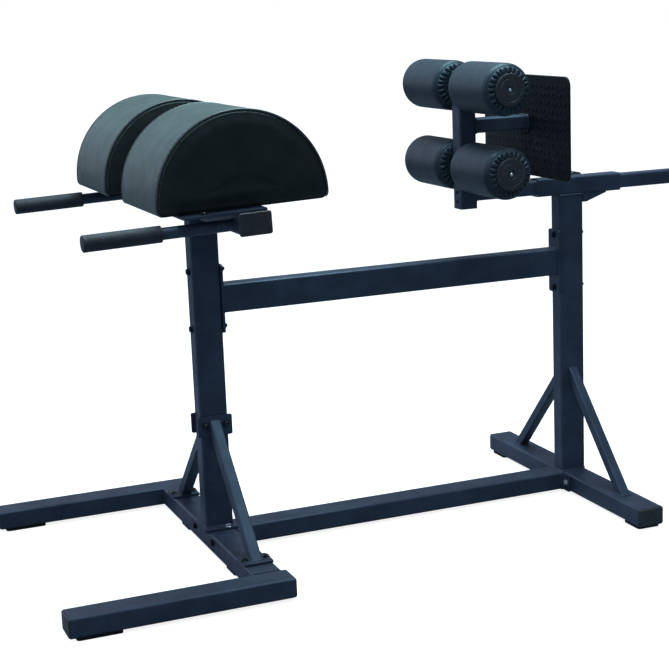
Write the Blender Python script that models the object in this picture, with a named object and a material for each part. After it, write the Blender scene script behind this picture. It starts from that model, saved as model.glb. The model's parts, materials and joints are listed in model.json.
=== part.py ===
# Roman chair: a bolted frame of rectangular steel tube. Two half-round thigh pads with side
# handles stand on the front post. A square tube slides through a sleeve on the rear post and
# carries a mast with four foam ankle rollers and a foot plate; a spring pin locks its reach.
# Metres, +Z up, +X towards the rollers, +Y the left side; the origin is on the floor, in the
# middle of the outline.

import math

import bmesh
import bpy
from mathutils import Matrix, Vector

# Driving dimensions.
TUBE_WIDTH = 0.076
TUBE_HEIGHT = 0.050
TUBE_WALL = 0.003
TUBE_CORNER = 0.006
PLATE = 0.006
GAP = 0.0003
CORNER_STEPS = 3

FOOT_HEIGHT = 0.008
BASE_TOP = FOOT_HEIGHT + TUBE_HEIGHT
BASE_MIDDLE = FOOT_HEIGHT + TUBE_HEIGHT / 2

FRONT_X = -0.489
REAR_X = 0.591
LEG_Y = 0.433
LEG_FRONT_X = -0.994
LEG_REAR_X = -0.443
REAR_HALF_WIDTH = 0.430
CAP_THICKNESS = 0.004
CAP_PLUG = 0.022

BEAM_Z = 0.6745
BEAM_FLANGE = 0.180
FLOOR_FLANGE_FRONT = 0.200
FLOOR_FLANGE_REAR = 0.150

CARRIER_Z = 0.924
CARRIER_HALF_LENGTH = 0.442
CARRIER_CAP_LIP = 0.005
CARRIER_PITCH_DEGREES = 2.0
HANDLE_Y = 0.393
HANDLE_Z = 0.920
HANDLE_RADIUS = 0.0145
HANDLE_FRONT_X = -0.883
GRIP_RADIUS = 0.0200
GRIP_LENGTH = 0.185

PAD_X = -0.497
PAD_RADIUS = 0.214
PAD_INNER_Y = 0.0835
PAD_OUTER_Y = 0.400
PAD_TOP = 1.189
PAD_CORNER = 0.018
PAD_PLATE_INNER_Y = 0.120
PAD_PLATE_OUTER_Y = 0.436
BOARD_THICKNESS = 0.012

SLEEVE_Z = 0.8875
SLEEVE_SIZE = 0.050
SLEEVE_FRONT_X = 0.487
SLEEVE_REAR_X = 0.752
SLIDE_SIZE = 0.040
SLIDE_WALL = 0.0025
SLIDE_REAR_X = 0.994
BUSH_LENGTH = 0.060
BUSH_THICKNESS = 0.0014

MAST_X = 0.272
MAST_BOTTOM = 0.848
MAST_TOP = 1.218
AXLE_UPPER_Z = 1.181
AXLE_LOWER_Z = 0.964
AXLE_RADIUS = 0.0125
AXLE_HALF_LENGTH = 0.262
ROLLER_RADIUS = 0.0685
ROLLER_SHOULDER = 0.026
ROLLER_BORE = 0.013
ROLLER_INNER_Y = 0.030
ROLLER_LENGTH = 0.236
DISC_RADIUS = 0.042
DISC_THICKNESS = 0.005

ARM_Z = 1.073
ARM_HEIGHT = 0.040
FOOT_PLATE_X = 0.460
FOOT_PLATE_BOTTOM = 0.927
FOOT_PLATE_TOP = 1.203
FOOT_PLATE_HALF_WIDTH = 0.242
FOOT_PLATE_CORNER = 0.024

PIN_X = 0.655
PIN_RADIUS = 0.006
PIN_STEM_RADIUS = 0.004
PIN_HOLE_PITCH = 0.050
KNOB_RADIUS = 0.028

# Colour, roughness and metallic value of each finish.
FINISHES = {
    "powder_coat": ((0.020, 0.024, 0.032), 0.42, 0.0),
    "plate_coat": ((0.016, 0.018, 0.024), 0.60, 0.0),
    "vinyl": ((0.026, 0.030, 0.034), 0.50, 0.0),
    "roller_vinyl": ((0.030, 0.036, 0.046), 0.45, 0.0),
    "rubber": ((0.012, 0.012, 0.013), 0.80, 0.0),
    "plastic": ((0.014, 0.015, 0.018), 0.45, 0.0),
    "nylon": ((0.60, 0.60, 0.58), 0.40, 0.0),
    "plywood": ((0.45, 0.30, 0.16), 0.75, 0.0),
    "zinc": ((0.55, 0.56, 0.58), 0.30, 1.0),
}

for old in list(bpy.data.objects):
    bpy.data.objects.remove(old, do_unlink=True)


def finish_material(name):
    material = bpy.data.materials.get(name)
    if material is None:
        colour, roughness, metallic = FINISHES[name]
        material = bpy.data.materials.new(name)
        material.use_nodes = True
        shader = material.node_tree.nodes["Principled BSDF"]
        shader.inputs["Base Color"].default_value = (*colour, 1.0)
        shader.inputs["Roughness"].default_value = roughness
        shader.inputs["Metallic"].default_value = metallic
    return material


def skin(name, rings, finish, loop=False, origin=None, parent=None, smooth=True):
    """Join rings of points, one after the other, into one closed body.

    With loop the last ring joins the first, as on a tube with open ends; otherwise the first
    and last rings are closed with flat faces. The object's origin is the middle of its box
    unless another one is given.
    """
    points = [Vector(point) for ring in rings for point in ring]
    if origin is None:
        low = Vector(min(point[axis] for point in points) for axis in range(3))
        high = Vector(max(point[axis] for point in points) for axis in range(3))
        origin = (low + high) / 2
    origin = Vector(origin)
    count = len(rings[0])
    work = bmesh.new()
    verts = [work.verts.new(point - origin) for point in points]
    pairs = len(rings) if loop else len(rings) - 1
    for index in range(pairs):
        first = index * count
        second = (index + 1) % len(rings) * count
        for step in range(count):
            after = (step + 1) % count
            work.faces.new((verts[first + step], verts[first + after],
                            verts[second + after], verts[second + step]))
    if not loop:
        work.faces.new(verts[:count])
        work.faces.new(verts[-count:])
    bmesh.ops.recalc_face_normals(work, faces=work.faces)
    mesh = bpy.data.meshes.new(name)
    work.to_mesh(mesh)
    work.free()
    if smooth:
        mesh.shade_smooth()
        mesh.set_sharp_from_angle(angle=math.radians(35))
    piece = bpy.data.objects.new(name, mesh)
    piece.location = origin
    piece.data.materials.append(finish_material(finish))
    bpy.context.scene.collection.objects.link(piece)
    if parent is not None:
        piece.parent = parent
        piece.matrix_parent_inverse = parent.matrix_world.inverted()
    return piece


def joint_empty(name, point, parent=None):
    empty = bpy.data.objects.new(name, None)
    empty.location = point
    empty.empty_display_size = 0.05
    bpy.context.scene.collection.objects.link(empty)
    if parent is not None:
        empty.parent = parent
        empty.location = Vector(point) - parent.matrix_world.translation
    bpy.context.view_layer.update()
    return empty


def rounded_outline(width, height, radius):
    """Points of a rectangle with round corners about its middle, anticlockwise."""
    outline = []
    for corner in range(4):
        side_u = 1 if corner in (0, 3) else -1
        side_v = 1 if corner in (0, 1) else -1
        for step in range(CORNER_STEPS + 1):
            angle = math.radians(90) * (corner + step / CORNER_STEPS)
            outline.append((side_u * (width / 2 - radius) + radius * math.cos(angle),
                            side_v * (height / 2 - radius) + radius * math.sin(angle)))
    return outline


def place(axis, along, u, v):
    """The point at a distance along an axis; u and v fill the other two axes in order."""
    if axis == "X":
        return (along, u, v)
    if axis == "Y":
        return (u, along, v)
    return (u, v, along)


def box_ring(axis, along, middle, width, height, radius):
    return [place(axis, along, middle[0] + u, middle[1] + v)
            for u, v in rounded_outline(width, height, radius)]


def round_ring(axis, along, middle, radius, sides):
    return [place(axis, along,
                  middle[0] + radius * math.cos(math.tau * side / sides),
                  middle[1] + radius * math.sin(math.tau * side / sides))
            for side in range(sides)]


def box_tube(name, axis, start, end, middle, size, finish, wall=TUBE_WALL, start_flange=None,
             end_flange=None, parent=None):
    """A hollow tube with open ends, and with a flange plate of a given size at either end."""
    inner = (size[0] - 2 * wall, size[1] - 2 * wall)
    inner_corner = max(TUBE_CORNER - wall, 0.001)
    stations = [(start, size)]
    if start_flange:
        stations = [(start, start_flange), (start + PLATE, start_flange), (start + PLATE, size)]
    if end_flange:
        stations += [(end - PLATE, size), (end - PLATE, end_flange), (end, end_flange)]
    else:
        stations.append((end, size))
    rings = [box_ring(axis, along, middle, *outer, TUBE_CORNER) for along, outer in stations]
    rings.append(box_ring(axis, end, middle, *inner, inner_corner))
    rings.append(box_ring(axis, start, middle, *inner, inner_corner))
    return skin(name, rings, finish, loop=True, parent=parent)


def end_cap(name, axis, face, outward, middle, size, wall, over=-0.002, parent=None):
    """A plastic cap outside a tube's end, with a plug that fills the tube's mouth.

    Over is how much wider than the tube the cap is.
    """
    plug = (size[0] - 2 * wall - 2 * GAP, size[1] - 2 * wall - 2 * GAP)
    lip = (size[0] + over, size[1] + over)
    crown = face + outward * (CAP_THICKNESS + GAP)
    rings = [
        box_ring(axis, crown, middle, lip[0] - 0.004, lip[1] - 0.004, TUBE_CORNER - 0.002),
        box_ring(axis, crown - outward * 0.002, middle, *lip, TUBE_CORNER),
        box_ring(axis, face + outward * GAP, middle, *lip, TUBE_CORNER),
        box_ring(axis, face + outward * GAP, middle, *plug, TUBE_CORNER - wall),
        box_ring(axis, face - outward * CAP_PLUG, middle, *plug, TUBE_CORNER - wall),
    ]
    return skin(name, rings, "plastic", parent=parent)


def slab(name, axis, start, end, middle, size, corner, finish, parent=None):
    """A flat plate with round corners, standing across an axis."""
    rings = [box_ring(axis, along, middle, *size, corner) for along in (start, end)]
    return skin(name, rings, finish, parent=parent)


def turned(name, axis, profile, middle, sides, finish, loop=False, origin=None, parent=None):
    """A round body from (distance along the axis, radius) pairs."""
    rings = [round_ring(axis, along, middle, radius, sides) for along, radius in profile]
    return skin(name, rings, finish, loop=loop, origin=origin, parent=parent)


def cutter(name, axis, profile, middle, sides):
    piece = turned(name, axis, profile, middle, sides, "zinc")
    piece.hide_render = True
    piece.display_type = "WIRE"
    return piece


def combine(piece, other, operation):
    modifier = piece.modifiers.new(other.name, "BOOLEAN")
    modifier.operation = operation
    modifier.solver = "EXACT"
    modifier.object = other


def pitch_forward(piece, above=0.0):
    """Turn a body, or its points above a height, about the middle of the front post's top.

    The handles and the pads lean down towards the front by the same small angle.
    """
    pivot = Vector((FRONT_X, 0.0, CARRIER_Z - TUBE_HEIGHT / 2)) - piece.location
    turn = Matrix.Rotation(-math.radians(CARRIER_PITCH_DEGREES), 4, "Y")
    for vert in piece.data.vertices:
        if vert.co.z + piece.location.z > above:
            vert.co = pivot + turn @ (vert.co - pivot)


SIDES = (("left", 1), ("right", -1))
TUBE = (TUBE_WIDTH, TUBE_HEIGHT)


def front_base():
    inner_face = LEG_Y - TUBE_WIDTH / 2 - GAP
    box_tube("front_cross_tube", "Y", -inner_face, inner_face, (FRONT_X, BASE_MIDDLE), TUBE,
             "powder_coat")
    for side, sign in SIDES:
        middle = (sign * LEG_Y, BASE_MIDDLE)
        box_tube(f"front_leg_{side}", "X", LEG_FRONT_X, LEG_REAR_X, middle, TUBE, "powder_coat")
        end_cap(f"leg_front_cap_{side}", "X", LEG_FRONT_X, -1, middle, TUBE, TUBE_WALL)
        end_cap(f"leg_rear_cap_{side}", "X", LEG_REAR_X, 1, middle, TUBE, TUBE_WALL)


def rubber_feet():
    """Rubber blocks under the legs and both cross tubes lift the tubes off the floor."""
    top = FOOT_HEIGHT - GAP
    places = (
        ("leg", (-0.924, LEG_Y), (0.110, 0.066)),
        ("cross", (FRONT_X, 0.200), (0.066, 0.075)),
        ("rear", (REAR_X, 0.385), (0.066, 0.075)),
    )
    for name, (x, y), size in places:
        for side, sign in SIDES:
            slab(f"{name}_foot_{side}", "Z", 0.0, top, (x, sign * y), size, 0.008, "rubber")


def front_post():
    top = CARRIER_Z - TUBE_HEIGHT / 2 - GAP
    post = box_tube("front_post", "Z", BASE_TOP + GAP, top, (FRONT_X, 0.0), TUBE, "powder_coat",
                    start_flange=(0.092, 0.096), end_flange=(0.076, 0.120))
    pitch_forward(post, above=top - 2 * PLATE)


def brace(name, sign, x, foot_y, foot_z, top_y, top_z, width, wall, foot_plate, top_plate):
    """A sloping square tube from a cross tube's top up to a post's side.

    The foot is cut level and the top is cut upright. Either end may have a plate of its own
    size, which the tube runs into.
    """
    rise = top_z - foot_z
    run = foot_y - top_y
    slope = math.hypot(rise, run)

    def level_cut(z, size, radius):
        across = size * slope / rise
        y_middle = foot_y - (z - foot_z) * run / rise
        return [(x + u, sign * (y_middle + v * across / size), z)
                for u, v in rounded_outline(size, size, radius)]

    def upright_cut(y, size, radius):
        across = size * slope / run
        z_middle = top_z - (y - top_y) * rise / run
        return [(x + u, sign * y, z_middle + v * across / size)
                for u, v in rounded_outline(size, size, radius)]

    foot_face = foot_z + (PLATE if foot_plate else 0.0)
    top_face = top_y + (PLATE if top_plate else 0.0)
    inner = width - 2 * wall
    rings = []
    if foot_plate:
        for z in (foot_z, foot_face):
            rings.append([(x + u, sign * (foot_y + v), z)
                          for u, v in rounded_outline(*foot_plate, 0.004)])
    rings.append(level_cut(foot_face, width, 0.004))
    rings.append(upright_cut(top_face, width, 0.004))
    if top_plate:
        for y in (top_face, top_y):
            rings.append([(x + u, sign * y, top_z + v)
                          for u, v in rounded_outline(*top_plate, 0.004)])
    rings.append(upright_cut(top_y, inner, 0.002))
    rings.append(level_cut(foot_z, inner, 0.002))
    return skin(name, rings, "powder_coat", loop=True)


def braces():
    for side, sign in SIDES:
        brace(f"front_brace_{side}", sign, FRONT_X, 0.310, BASE_TOP + GAP,
              TUBE_HEIGHT / 2 + GAP, 0.341, 0.030, 0.0025, (0.076, 0.064), (0.094, 0.054))
        brace(f"rear_brace_{side}", sign, REAR_X, 0.292, BASE_TOP + GAP,
              TUBE_HEIGHT / 2 + GAP, 0.345, 0.028, 0.0025, None, None)


def long_tubes():
    front_face = FRONT_X + TUBE_WIDTH / 2 + GAP
    rear_face = REAR_X - TUBE_WIDTH / 2 - GAP
    box_tube("floor_tube", "X", front_face, rear_face, (0.0, BASE_MIDDLE), TUBE, "powder_coat",
             start_flange=(FLOOR_FLANGE_FRONT, TUBE_HEIGHT - 0.001),
             end_flange=(FLOOR_FLANGE_REAR, TUBE_HEIGHT - 0.001))
    box_tube("top_beam", "X", front_face, rear_face, (0.0, BEAM_Z), (TUBE_HEIGHT, TUBE_WIDTH),
             "powder_coat", start_flange=(TUBE_HEIGHT + 0.008, BEAM_FLANGE),
             end_flange=(TUBE_HEIGHT + 0.008, BEAM_FLANGE))


def rear_base():
    box_tube("rear_cross_tube", "Y", -REAR_HALF_WIDTH, REAR_HALF_WIDTH, (REAR_X, BASE_MIDDLE),
             TUBE, "powder_coat")
    for side, sign in SIDES:
        end_cap(f"rear_cross_cap_{side}", "Y", sign * REAR_HALF_WIDTH, sign,
                (REAR_X, BASE_MIDDLE), TUBE, TUBE_WALL)
    top = SLEEVE_Z - SLEEVE_SIZE / 2 - GAP
    box_tube("rear_post", "Z", BASE_TOP + GAP, top, (REAR_X, 0.0), TUBE, "powder_coat")


def slide_sleeve():
    """The square sleeve on the rear post, its wedge behind the post and its nylon bushes."""
    middle = (0.0, SLEEVE_Z)
    square = (SLEEVE_SIZE, SLEEVE_SIZE)
    sleeve = box_tube("slide_sleeve", "X", SLEEVE_FRONT_X, SLEEVE_REAR_X, middle, square,
                      "powder_coat")
    bottom = SLEEVE_Z - SLEEVE_SIZE / 2
    post_face = REAR_X + TUBE_WIDTH / 2 + GAP
    half = SLEEVE_SIZE / 2 - 0.0015
    corners = ((post_face, bottom + 0.0012), (post_face, bottom - 0.024),
               (post_face + 0.012, bottom - 0.024), (post_face + 0.076, bottom - 0.002),
               (post_face + 0.076, bottom + 0.0012))
    rings = [[(x, y, z) for x, z in corners] for y in (-half, half)]
    wedge = skin("sleeve_wedge", rings, "powder_coat")
    wedge.hide_render = True
    wedge.display_type = "WIRE"
    combine(sleeve, wedge, "UNION")
    hole = cutter("sleeve_pin_hole", "Y", ((0.015, PIN_RADIUS + 0.0005),
                                           (0.035, PIN_RADIUS + 0.0005)),
                  (PIN_X, SLEEVE_Z), 24)
    combine(sleeve, hole, "DIFFERENCE")
    inside = SLEEVE_SIZE - 2 * TUBE_WALL - 2 * GAP
    for name, start in (("front", SLEEVE_FRONT_X), ("rear", SLEEVE_REAR_X - BUSH_LENGTH)):
        box_tube(f"sleeve_bush_{name}", "X", start, start + BUSH_LENGTH, middle,
                 (inside, inside), "nylon", wall=BUSH_THICKNESS)


def handles():
    """The cross tube on the front post, with a handle and a rubber grip at each end."""
    pieces = [box_tube("handle_carrier", "Y", -CARRIER_HALF_LENGTH, CARRIER_HALF_LENGTH,
                       (FRONT_X, CARRIER_Z), TUBE, "powder_coat")]
    grip_start = HANDLE_FRONT_X - 0.004
    for side, sign in SIDES:
        pieces.append(end_cap(f"carrier_cap_{side}", "Y", sign * CARRIER_HALF_LENGTH, sign,
                              (FRONT_X, CARRIER_Z), TUBE, TUBE_WALL, over=CARRIER_CAP_LIP))
        middle = (sign * HANDLE_Y, HANDLE_Z)
        rear = FRONT_X - TUBE_WIDTH / 2 - GAP
        tube_profile = ((HANDLE_FRONT_X, HANDLE_RADIUS), (rear, HANDLE_RADIUS),
                        (rear, HANDLE_RADIUS - 0.002), (HANDLE_FRONT_X, HANDLE_RADIUS - 0.002))
        pieces.append(turned(f"handle_{side}", "X", tube_profile, middle, 24, "powder_coat",
                             loop=True))
        bore = HANDLE_RADIUS + GAP
        grip_profile = (
            (HANDLE_FRONT_X - GAP, bore), (grip_start + GRIP_LENGTH, bore),
            (grip_start + GRIP_LENGTH, GRIP_RADIUS - 0.001),
            (grip_start + GRIP_LENGTH - 0.004, GRIP_RADIUS),
            (grip_start + 0.003, GRIP_RADIUS), (grip_start, GRIP_RADIUS - 0.004),
        )
        pieces.append(turned(f"grip_{side}", "X", grip_profile, middle, 28, "rubber"))
    for piece in pieces:
        pitch_forward(piece)


def pad_outline(inset):
    """A half circle on a short skirt, with small round corners at the bottom."""
    radius = PAD_RADIUS - inset
    arc_z = PAD_TOP - PAD_RADIUS
    bottom = CARRIER_Z + TUBE_HEIGHT / 2 + PLATE + BOARD_THICKNESS + 3 * GAP + inset
    corner = PAD_CORNER
    outline = []
    for step in range(25):
        angle = math.radians(180) * step / 24
        outline.append((PAD_X + radius * math.cos(angle), arc_z + radius * math.sin(angle)))
    for middle_x, start in ((PAD_X - radius + corner, 180), (PAD_X + radius - corner, 270)):
        for step in range(5):
            angle = math.radians(start + 90 * step / 4)
            height = max(arc_z - 0.0005 - bottom, 0.001)
            outline.append((middle_x + corner * math.cos(angle),
                            bottom + height * (1 + math.sin(angle))))
    return outline


def pads():
    plate_bottom = CARRIER_Z + TUBE_HEIGHT / 2 + GAP
    board_bottom = plate_bottom + PLATE + GAP
    pad_middle = (PAD_INNER_Y + PAD_OUTER_Y) / 2
    pad_width = PAD_OUTER_Y - PAD_INNER_Y
    plate_middle = (PAD_PLATE_INNER_Y + PAD_PLATE_OUTER_Y) / 2
    plate_front = -0.657
    plate_rear = FRONT_X + TUBE_WIDTH / 2
    edge = 0.008
    for side, sign in SIDES:
        plate = slab(f"pad_plate_{side}", "Z", plate_bottom, plate_bottom + PLATE,
                     ((plate_front + plate_rear) / 2, sign * plate_middle),
                     (plate_rear - plate_front, PAD_PLATE_OUTER_Y - PAD_PLATE_INNER_Y), 0.012,
                     "powder_coat")
        board = slab(f"pad_board_{side}", "Z", board_bottom, board_bottom + BOARD_THICKNESS,
                     (PAD_X, sign * pad_middle), (2 * PAD_RADIUS - 0.030, pad_width - 0.012),
                     0.012, "plywood")
        stations = ((PAD_INNER_Y, edge), (PAD_INNER_Y + edge / 3, edge / 3),
                    (PAD_INNER_Y + edge, 0.0), (PAD_OUTER_Y - edge, 0.0),
                    (PAD_OUTER_Y - edge / 3, edge / 3), (PAD_OUTER_Y, edge))
        rings = [[(x, sign * y, z) for x, z in pad_outline(inset)] for y, inset in stations]
        pad = skin(f"pad_{side}", rings, "vinyl")
        for piece in (plate, board, pad):
            pitch_forward(piece)


def carriage():
    """The sliding tube, the mast, the foot plate and the two axles move together."""
    slide = joint_empty("foot_carriage_slide", (MAST_X, 0.0, SLEEVE_Z))
    square = (SLIDE_SIZE, SLIDE_SIZE)
    front = MAST_X + SLEEVE_SIZE / 2 + GAP
    tube = box_tube("slide_tube", "X", front, SLIDE_REAR_X, (0.0, SLEEVE_Z), square,
                    "powder_coat", wall=SLIDE_WALL, parent=slide)
    for step in range(-3, 5):
        hole = cutter(f"slide_hole_{step + 4}", "Y", ((0.010, PIN_RADIUS + 0.0005),
                                                      (0.030, PIN_RADIUS + 0.0005)),
                      (PIN_X + step * PIN_HOLE_PITCH, SLEEVE_Z), 16)
        combine(tube, hole, "DIFFERENCE")
    end_cap("slide_tube_cap", "X", SLIDE_REAR_X, 1, (0.0, SLEEVE_Z), square, SLIDE_WALL,
            parent=slide)
    mast_size = (SLEEVE_SIZE, SLEEVE_SIZE)
    mast = box_tube("roller_mast", "Z", MAST_BOTTOM, MAST_TOP, (MAST_X, 0.0), mast_size,
                    "powder_coat", parent=slide)
    end_cap("mast_cap", "Z", MAST_TOP, 1, (MAST_X, 0.0), mast_size, TUBE_WALL, parent=slide)
    box_tube("plate_arm", "X", front, FOOT_PLATE_X - GAP, (0.0, ARM_Z),
             (SLEEVE_SIZE, ARM_HEIGHT), "powder_coat", parent=slide)
    slab("foot_plate", "X", FOOT_PLATE_X, FOOT_PLATE_X + PLATE,
         (0.0, (FOOT_PLATE_BOTTOM + FOOT_PLATE_TOP) / 2),
         (2 * FOOT_PLATE_HALF_WIDTH, FOOT_PLATE_TOP - FOOT_PLATE_BOTTOM), FOOT_PLATE_CORNER,
         "plate_coat", parent=slide)
    for level, z in (("upper", AXLE_UPPER_Z), ("lower", AXLE_LOWER_Z)):
        hole = cutter(f"mast_hole_{level}", "Y", ((-0.040, AXLE_RADIUS + GAP),
                                                  (0.040, AXLE_RADIUS + GAP)), (MAST_X, z), 32)
        combine(mast, hole, "DIFFERENCE")
        axle_profile = ((-AXLE_HALF_LENGTH, AXLE_RADIUS - 0.001),
                        (-AXLE_HALF_LENGTH + 0.001, AXLE_RADIUS),
                        (AXLE_HALF_LENGTH - 0.001, AXLE_RADIUS),
                        (AXLE_HALF_LENGTH, AXLE_RADIUS - 0.001))
        turned(f"roller_axle_{level}", "Y", axle_profile, (MAST_X, z), 32, "zinc", parent=slide)
        for side, sign in SIDES:
            roller(level, z, side, sign, slide)


def roller(level, z, side, sign, slide):
    """A foam roller with rounded ends and the disc that closes its outer end."""
    spin = joint_empty(f"roller_spin_{level}_{side}", (MAST_X, 0.0, z), slide)
    outer_y = ROLLER_INNER_Y + ROLLER_LENGTH
    profile = [(ROLLER_INNER_Y, ROLLER_BORE)]
    for end, turn in ((ROLLER_INNER_Y, 1), (outer_y, -1)):
        arc = []
        for step in range(6):
            angle = math.radians(18) * step
            arc.append((end + turn * ROLLER_SHOULDER * (1 - math.sin(angle)),
                        ROLLER_RADIUS - ROLLER_SHOULDER * (1 - math.cos(angle))))
        profile += arc[::-1] if turn > 0 else arc
    profile.append((outer_y, ROLLER_BORE))
    profile = [(sign * along, radius) for along, radius in profile]
    turned(f"roller_{level}_{side}", "Y", profile, (MAST_X, z), 32, "roller_vinyl", loop=True,
           origin=(MAST_X, 0.0, z), parent=spin)
    face = outer_y + GAP
    disc_profile = ((sign * face, DISC_RADIUS), (sign * (face + DISC_THICKNESS - 0.002),
                                                 DISC_RADIUS),
                    (sign * (face + DISC_THICKNESS), DISC_RADIUS - 0.002))
    turned(f"roller_disc_{level}_{side}", "Y", disc_profile, (MAST_X, z), 32, "plastic",
           origin=(MAST_X, 0.0, z), parent=spin)


def lock():
    """A spring pin in a threaded housing on the sleeve's left wall, pulled by a lobed knob."""
    middle = (PIN_X, SLEEVE_Z)
    wall_face = SLEEVE_SIZE / 2 + GAP
    housing_end = 0.050
    housing_profile = (
        (wall_face, 0.012), (housing_end - 0.001, 0.012), (housing_end, 0.011),
        (housing_end, PIN_STEM_RADIUS + GAP), (0.0465, PIN_STEM_RADIUS + GAP), (0.0465, 0.009),
        (0.031, 0.009), (0.031, PIN_RADIUS + GAP), (wall_face, PIN_RADIUS + GAP),
    )
    turned("pin_housing", "Y", housing_profile, middle, 24, "zinc", loop=True)
    pull = joint_empty("lock_pin_pull", (PIN_X, 0.0, SLEEVE_Z))
    nose = SLIDE_SIZE / 2 + GAP
    pin_profile = ((nose, PIN_RADIUS - 0.001), (nose + 0.001, PIN_RADIUS), (0.034, PIN_RADIUS),
                   (0.034, PIN_STEM_RADIUS), (0.064, PIN_STEM_RADIUS))
    turned("lock_pin", "Y", pin_profile, middle, 24, "zinc", origin=(PIN_X, 0.0, SLEEVE_Z),
           parent=pull)
    knob_bore = PIN_STEM_RADIUS + GAP
    lobes = 7
    stations = ((0.0645, knob_bore, 0.0), (0.054, knob_bore, 0.0), (0.054, 0.012, 0.0),
                (0.058, 0.014, 0.0), (0.060, KNOB_RADIUS - 0.002, 1.0),
                (0.064, KNOB_RADIUS, 1.0), (0.074, KNOB_RADIUS, 1.0),
                (0.078, KNOB_RADIUS - 0.003, 1.0), (0.080, KNOB_RADIUS - 0.010, 0.5))
    sides = 42
    rings = []
    for y, radius, lobed in stations:
        ring = []
        for side in range(sides):
            angle = math.tau * side / sides
            reach = radius + lobed * 0.0016 * math.cos(lobes * angle)
            ring.append((PIN_X + reach * math.cos(angle), y, SLEEVE_Z + reach * math.sin(angle)))
        rings.append(ring)
    skin("lock_knob", rings, "plastic", origin=(PIN_X, 0.0, SLEEVE_Z), parent=pull)
    pin_spring(middle)


def pin_spring(middle):
    """A round-wire spring around the pin, inside the housing."""
    turns = 5
    steps = 12
    wire = 0.0007
    coil = 0.0073
    start = 0.0325
    end = 0.0450
    count = turns * steps
    rings = []
    for index in range(count + 1):
        angle = math.tau * index / steps
        along = start + (end - start) * index / count
        ring = []
        for side in range(6):
            turn = math.tau * side / 6
            reach = coil + wire * math.cos(turn)
            ring.append((middle[0] + reach * math.cos(angle), along + wire * math.sin(turn),
                         middle[1] + reach * math.sin(angle)))
        rings.append(ring)
    skin("lock_spring", rings, "zinc")


front_base()
rubber_feet()
front_post()
braces()
long_tubes()
rear_base()
slide_sleeve()
handles()
pads()
carriage()
lock()
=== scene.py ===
import json
import math

import bpy
import numpy as np
from mathutils import Matrix, Vector


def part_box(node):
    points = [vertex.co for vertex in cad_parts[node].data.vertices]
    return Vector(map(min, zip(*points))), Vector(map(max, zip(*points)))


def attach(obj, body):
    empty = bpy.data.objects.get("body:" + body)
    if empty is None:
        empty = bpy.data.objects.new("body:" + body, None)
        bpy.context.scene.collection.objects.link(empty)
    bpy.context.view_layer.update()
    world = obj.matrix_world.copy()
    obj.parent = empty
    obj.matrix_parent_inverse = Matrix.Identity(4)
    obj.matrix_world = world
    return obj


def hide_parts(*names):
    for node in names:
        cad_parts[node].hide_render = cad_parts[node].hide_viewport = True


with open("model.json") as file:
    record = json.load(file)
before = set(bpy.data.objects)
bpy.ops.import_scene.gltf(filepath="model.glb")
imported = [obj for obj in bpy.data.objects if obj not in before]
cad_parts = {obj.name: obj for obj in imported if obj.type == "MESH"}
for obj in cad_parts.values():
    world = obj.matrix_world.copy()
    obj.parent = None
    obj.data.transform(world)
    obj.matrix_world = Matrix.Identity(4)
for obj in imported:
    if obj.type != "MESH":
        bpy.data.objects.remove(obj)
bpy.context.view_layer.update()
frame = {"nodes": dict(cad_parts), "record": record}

scene = bpy.context.scene
slotOfNode = {part["node"]: part["material_slot"] for part in frame["record"]["subparts"]}
sides = (("left", 1), ("right", -1))
print("frame loaded:", len(frame["nodes"]), "nodes")


# ---- camera, light and floor

view = {
    "place": (-1.6610, -3.8874, 1.4290),
    "azimuth": -22.4,      # degrees round the vertical from the -Y side
    "elevation": 11.6,
    "roll": -2.1,
    "lens": 85.2,
    "shift": (-0.0363, -0.0191),
}


def aimCamera():
    azimuth, elevation, roll = (math.radians(view[key]) for key in ("azimuth", "elevation", "roll"))
    back = Vector((math.sin(azimuth) * math.cos(elevation), -math.cos(azimuth) * math.cos(elevation),
                   math.sin(elevation)))
    level = Vector((math.cos(azimuth), math.sin(azimuth), 0.0))
    upright = back.cross(level)
    right = level * math.cos(roll) + upright * math.sin(roll)
    up = upright * math.cos(roll) - level * math.sin(roll)
    data = bpy.data.cameras.new("mainCamera")
    data.lens = view["lens"]
    data.sensor_width = 36.0
    data.shift_x, data.shift_y = view["shift"]
    data.clip_start, data.clip_end = 0.05, 100.0
    camera = bpy.data.objects.new("mainCamera", data)
    camera.matrix_world = Matrix.Translation(view["place"]) @ Matrix((right, up, back)).transposed().to_4x4()
    scene.collection.objects.link(camera)
    scene.camera = camera


aimCamera()
scene.view_settings.view_transform = "Standard"
print("camera placed")


def linearColour(hexValue):
    # sRGB to linear: c / 12.92 for dark values, ((c + 0.055) / 1.055) ^ 2.4 for the rest
    parts = [int(hexValue[start:start + 2], 16) / 255 for start in (1, 3, 5)]
    return (*(c / 12.92 if c <= 0.04045 else ((c + 0.055) / 1.055) ** 2.4 for c in parts), 1.0)


def addNode(tree, kind, settings=None, links=None):
    # settings: the node's own properties, or values of its sockets; links: socket -> (node, output)
    node = tree.nodes.new("ShaderNode" + kind)
    for key, value in (settings or {}).items():
        if isinstance(key, int) or key in node.inputs:
            node.inputs[key].default_value = value
        else:
            setattr(node, key, value)
    for key, (source, output) in (links or {}).items():
        tree.links.new(source.outputs[output], node.inputs[key])
    return node


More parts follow.
